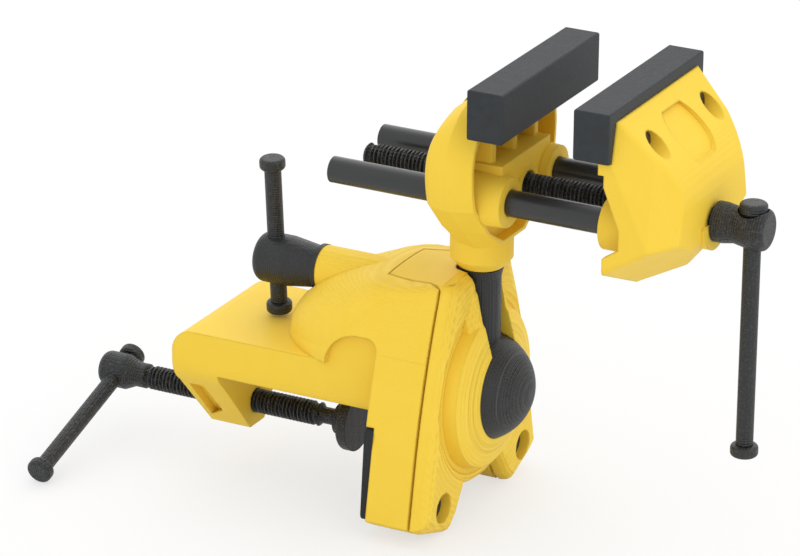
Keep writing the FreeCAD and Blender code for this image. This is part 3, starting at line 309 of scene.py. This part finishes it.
def black_moulding():
    """Jaw pads: fine lines along Y on their tops, and a painted sheen that makes their faces across X
    paler.
    """
    finish = Finish("black_moulding", gloss=0.3)
    finish.soften(PAD_EDGE)
    sheen_lift = 1.2
    # painted sheen: faces across X made paler in the colour, as a grazing reflection of white
    # surroundings would make them
    painted_sheen = finish.math("POWER", finish.facing("X"), SHEEN_FADE)
    shade = finish.math("MULTIPLY_ADD", painted_sheen, sheen_lift, finish.noise(size=3 * MM, detail=3))
    finish.colour(COVER_BLACK, shade)
    finish.rough(low=0.5, high=0.7, size=0.8 * MM)
    lines = finish.math("MULTIPLY", finish.ridges("X", LINE_PITCH), finish.facing("Z"))
    finish.bump(lines, depth=0.05 * MM)
    finish.grain(depth=0.03 * MM, size=0.5 * MM)
    return finish.done()


def blackened(name, along, mottle):
    """Blackened steel and black knobs: rings across an axis, and a skin mottled more or less."""
    finish = Finish(name)
    finish.soften(STEEL_EDGE)
    finish.colour(STEEL_BLACK, finish.math("MULTIPLY", finish.specks(GRAIN), mottle))
    finish.rough(low=0.3, high=0.6, size=0.9 * MM)
    finish.bump(finish.ridges(along, GRAIN), depth=0.05 * MM)
    finish.bump(finish.dots(GRAIN), depth=0.12 * mottle * MM)
    finish.grain(depth=0.25 * mottle * MM, size=0.8 * MM, detail=3)
    return finish.done()


def rod_steel():
    """Smooth black rods with faint drawing lines."""
    finish = Finish("rod_steel", gloss=0.6)
    drawn = (0.05, 1, 1)
    finish.colour(ROD_BLACK, finish.noise(size=0.6 * MM, detail=3, stretch=drawn))
    finish.rough(low=0.28, high=0.4, size=0.5 * MM, stretch=drawn)
    finish.grain(depth=0.01 * MM, size=0.4 * MM, stretch=(0.04, 1, 1))
    return finish.done()


def ball_steel():
    """Black ball and stem: rings round the pole that faces +X, dotted beyond a seam that carries a
    painted highlight.
    """
    finish = Finish("ball_steel")
    across, _, height = finish.axes.outputs
    stem_relief = 0.4    # share of the cap's relief that the rest has
    seam_highlight_lift = 3
    cap = finish.ramp(across, BALL_SEAM, BALL_SEAM + GRAIN)
    relief = finish.math("MULTIPLY_ADD", cap, 1 - stem_relief, stem_relief)
    rings = finish.ridges("X", RING_PITCH)
    # painted highlight: a pale line along the seam, full near the top and gone lower down
    seam_highlight = finish.math("COMPARE", across, BALL_SEAM, SEAM_HIGHLIGHT_WIDTH)
    seam_highlight = finish.math("MULTIPLY", seam_highlight, finish.ramp(height, SEAM_HIGHLIGHT_LOW, SEAM_HIGHLIGHT_HIGH))
    fine = finish.math("MULTIPLY", rings, finish.noise(size=0.9 * MM, detail=3))
    shade = finish.math("MULTIPLY_ADD", seam_highlight, seam_highlight_lift, finish.math("MULTIPLY", fine, relief))
    finish.colour(BALL_BLACK, shade)
    finish.rough(low=0.42, high=0.6, size=0.8 * MM)
    finish.bump(finish.math("MULTIPLY", rings, relief), depth=0.16 * MM)
    finish.bump(finish.math("MULTIPLY", finish.dots(GRAIN), relief), depth=0.14 * MM)
    return finish.done()


def rubber():
    """Dull black pad, all of one roughness."""
    finish = Finish("pad_rubber", gloss=0.35, roughness=0.8)
    finish.colour(RUBBER_BLACK, finish.noise(size=2 * MM, detail=4))
    finish.grain(depth=0.08 * MM, size=0.5 * MM, detail=3)
    return finish.done()


def bright_steel():
    """Zinc-plated nuts, pins, clip and washer."""
    finish = Finish("bright_steel", metallic=1.0)
    finish.colour(ZINC, finish.noise(size=1.5 * MM, detail=3))
    finish.rough(low=0.25, high=0.45, size=0.7 * MM)
    finish.grain(depth=0.01 * MM, size=0.4 * MM, stretch=(1, 0.1, 1))
    return finish.done()


def paint_nodes():
    frame_yellow = yellow_moulding("yellow_frame", "Z", relief=0.24 * MM)
    front_yellow = yellow_moulding("yellow_front", "X", relief=0.20 * MM, circle_relief=0.32 * MM)
    jaw_yellow = yellow_moulding("yellow_jaw", "X", relief=0.07 * MM)
    cover = black_moulding()
    steel = blackened("blackened_steel", "X", mottle=1.0)
    smooth = blackened("blackened_smooth", "X", mottle=0.3)
    bar = blackened("blackened_bar", "Z", mottle=0.6)
    rod = rod_steel()
    bright = bright_steel()
    finishes = {
        "clamp_frame": frame_yellow, "front_housing": front_yellow,
        "fixed_jaw": jaw_yellow, "moving_jaw": jaw_yellow,
        "fixed_jaw_pad": cover, "moving_jaw_pad": cover, "bench_pad": rubber(),
        "guide_rod_near": rod, "guide_rod_far": rod, "ball_stud": ball_steel(),
        "housing_nuts": bright, "lock_nut": bright, "main_nut": bright, "rod_pins": bright,
        "screw_clip": bright, "thrust_washer": bright,
        "main_bar": bar, "lock_bar": bar, "main_bar_knobs": bar, "lock_bar_knobs": bar,
        "lock_screw": smooth, "lock_washer": smooth,
    }
    for name, node in nodes.items():
        node.data.materials.clear()
        node.data.materials.append(finishes.get(name, steel))


# ------------------------------------------------------------------ threads
def on_circle(x, radius, centre, step):
    """A place on a circle across X, some of its steps round."""
    angle = 2 * math.pi * step / STEPS_PER_TURN
    return (x, centre.y + radius * math.cos(angle), centre.z + radius * math.sin(angle))


def add_core(mesh, start, end, crest, centre):
    """Surface of revolution: flared from the crest at both ends, and at the root between."""
    root = crest - THREAD_DEPTH
    profile = ((start, crest), (start + FLARE, root), (end - FLARE, root), (end, crest))
    rings = [[mesh.verts.new(on_circle(x, radius, centre, step)) for step in range(STEPS_PER_TURN)]
             for x, radius in profile]
    for near, far in zip(rings, rings[1:]):
        for i in range(STEPS_PER_TURN):
            j = (i + 1) % STEPS_PER_TURN
            mesh.faces.new((near[i], near[j], far[j], far[i]))


def add_ridge(mesh, start, end, crest, centre):
    """Helical ridge on the core, which fades in and out at its ends."""
    root = crest - THREAD_DEPTH
    turns = (end - start - 2 * FLARE) / PITCH - 1
    count = int(turns * STEPS_PER_TURN)
    rows = []
    for step in range(count + 1):
        fade = min(1, step / RIDGE_FADE, (count - step) / RIDGE_FADE)
        middle = start + FLARE + PITCH * (0.5 + step / STEPS_PER_TURN)
        row = []
        for along, up in RIDGE_PROFILE:
            radius = root - RIDGE_SUNK + (THREAD_DEPTH * fade + RIDGE_SUNK) * up
            row.append(mesh.verts.new(on_circle(middle + along * PITCH, radius, centre, step)))
        rows.append(row)
    for near, far in zip(rows, rows[1:]):
        for i in range(len(RIDGE_PROFILE) - 1):
            mesh.faces.new((near[i], near[i + 1], far[i + 1], far[i]))


def span(face):
    """The face's length along X."""
    places = [vert.co.x for vert in face.verts]
    return max(places) - min(places)


def threaded(node, body, centre):
    """The node's screw again, with a real thread in place of its plain cylinder."""
    source = nodes[node]
    mesh = bmesh.new()
    mesh.from_mesh(source.data)

    # the cylinder's faces run its whole length, and no other face is half as long
    longest = max(span(face) for face in mesh.faces)
    plain = [face for face in mesh.faces if span(face) > longest / 2]
    verts = {vert for face in plain for vert in face.verts}
    start = min(vert.co.x for vert in verts)
    end = max(vert.co.x for vert in verts)
    crest = max(math.hypot(vert.co.y - centre.y, vert.co.z - centre.z) for vert in verts)
    bmesh.ops.delete(mesh, geom=plain, context="FACES")
    add_core(mesh, start, end, crest, centre)
    add_ridge(mesh, start, end, crest, centre)
    bmesh.ops.recalc_face_normals(mesh, faces=mesh.faces)

    data = bpy.data.meshes.new(node + "_threaded")
    mesh.to_mesh(data)
    mesh.free()
    data.shade_smooth()
    data.set_sharp_from_angle(angle=SHARP_ANGLE)
    data.materials.append(source.data.materials[0])
    piece = bpy.data.objects.new(node + "_threaded", data)
    bpy.context.scene.collection.objects.link(piece)
    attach(piece, body)
    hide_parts(node)


def make_threads():
    for screw, (body, guide) in THREADED.items():
        low, high = (Vector(corner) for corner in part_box(guide))
        threaded(screw, body, (low + high) / 2)


# ------------------------------------------------------------------ bench pad
def widened_pad():
    """The bench pad, drawn out sideways to the slanting sides of the plate behind it."""
    source = nodes["bench_pad"]
    low, high = (Vector(corner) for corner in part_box("bench_pad"))
    data = source.data.copy()
    for vert in data.vertices:
        rise = (vert.co.z - low.z) / (high.z - low.z)
        vert.co.y *= (PAD_FOOT_HALF + rise * (PAD_TOP_HALF - PAD_FOOT_HALF)) / high.y
        vert.co.z += PAD_FOOT_LIFT * (1 - rise)
    piece = bpy.data.objects.new("bench_pad_wide", data)
    bpy.context.scene.collection.objects.link(piece)
    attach(piece, "clamp")
    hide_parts("bench_pad")


# ------------------------------------------------------------------ stage
def background_rays(tree):
    """1 on rays that show the background, straight or in gloss or glass, 0 on those that light."""
    path = tree.nodes.new("ShaderNodeLightPath")
    seen = path.outputs["Is Camera Ray"]
    for ray in ("Is Glossy Ray", "Is Transmission Ray"):
        either = tree.nodes.new("ShaderNodeMath")
        either.operation = "MAXIMUM"
        tree.links.new(seen, either.inputs[0])
        tree.links.new(path.outputs[ray], either.inputs[1])
        seen = either.outputs[0]
    return seen


def switch(tree, seen, socket, lighting, shown):
    """Give a socket one value on the rays that light and another on those that show."""
    choice = tree.nodes.new("ShaderNodeMapRange")
    choice.inputs["To Min"].default_value = lighting
    choice.inputs["To Max"].default_value = shown
    tree.links.new(seen, choice.inputs["Value"])
    tree.links.new(choice.outputs[0], socket)


def make_stage():
    floor_z = cad_box[0][2]
    bpy.ops.mesh.primitive_plane_add(size=FLOOR_SIZE, location=(0, 0, floor_z))
    floor = bpy.context.object
    floor.name = "floor"
    material = bpy.data.materials.new("floor")
    material.use_nodes = True
    tree = material.node_tree
    inputs = tree.nodes["Principled BSDF"].inputs
    inputs["Roughness"].default_value = FLOOR_ROUGHNESS
    inputs["Specular IOR Level"].default_value = 0
    inputs["Emission Color"].default_value = WHITE
    seen = background_rays(tree)
    switch(tree, seen, inputs["Base Color"], FLOOR_BOUNCE, FLOOR_SHADE)
    switch(tree, seen, inputs["Emission Strength"], 0, FLOOR_GLOW)
    floor.data.materials.append(material)


def make_light():
    world = bpy.data.worlds.new("world")
    bpy.context.scene.world = world
    world.use_nodes = True
    tree = world.node_tree
    background = tree.nodes["Background"]
    background.inputs["Color"].default_value = WHITE
    switch(tree, background_rays(tree), background.inputs["Strength"], SKY, SKY_SHOWN)

    for name, (strength, source) in SUNS.items():
        sun = bpy.data.lights.new(name, "SUN")
        sun.energy = strength
        sun.angle = SOFTNESS
        lamp = bpy.data.objects.new(name, sun)
        lamp.rotation_euler = Vector(source).to_track_quat("Z", "Y").to_euler()
        bpy.context.scene.collection.objects.link(lamp)
    bpy.context.scene.view_settings.view_transform = "Standard"


paint_nodes()
make_camera()
make_threads()
widened_pad()
make_stage()
make_light()
